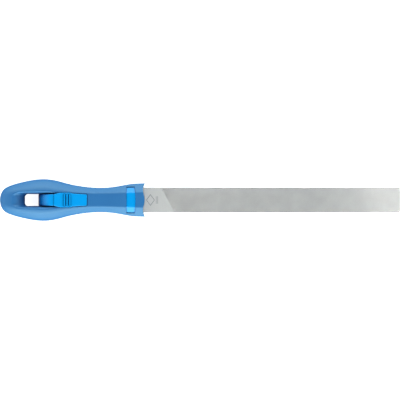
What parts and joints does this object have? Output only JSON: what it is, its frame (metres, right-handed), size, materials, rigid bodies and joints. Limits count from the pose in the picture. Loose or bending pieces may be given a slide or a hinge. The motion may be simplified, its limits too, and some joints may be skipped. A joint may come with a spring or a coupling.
{
  "type": "flat file",
  "caption": "Flat hand file for metal: parallel double-cut blade in a soft-gripped moulded handle with a hanging eye.",
  "frame": {"origin": "centre of the whole tool: halfway along its length, across its width and through its thickness", "axes": "+X along the tool from the handle to the blade's tip, +Y across the blade's width, +Z through its thickness"},
  "size_m": [0.32, 0.0334, 0.0262],
  "materials": {
    "hardened_steel": "matt, cut with fine file teeth",
    "hard_plastic": "moulded, satin gloss",
    "soft_elastomer": "moulded, soft-touch, fine matt"
  },
  "bodies": {
    "root": {"file_blade": "hardened_steel", "handle_core": "hard_plastic", "soft_grip": "soft_elastomer"}
  },
  "joints": []
}
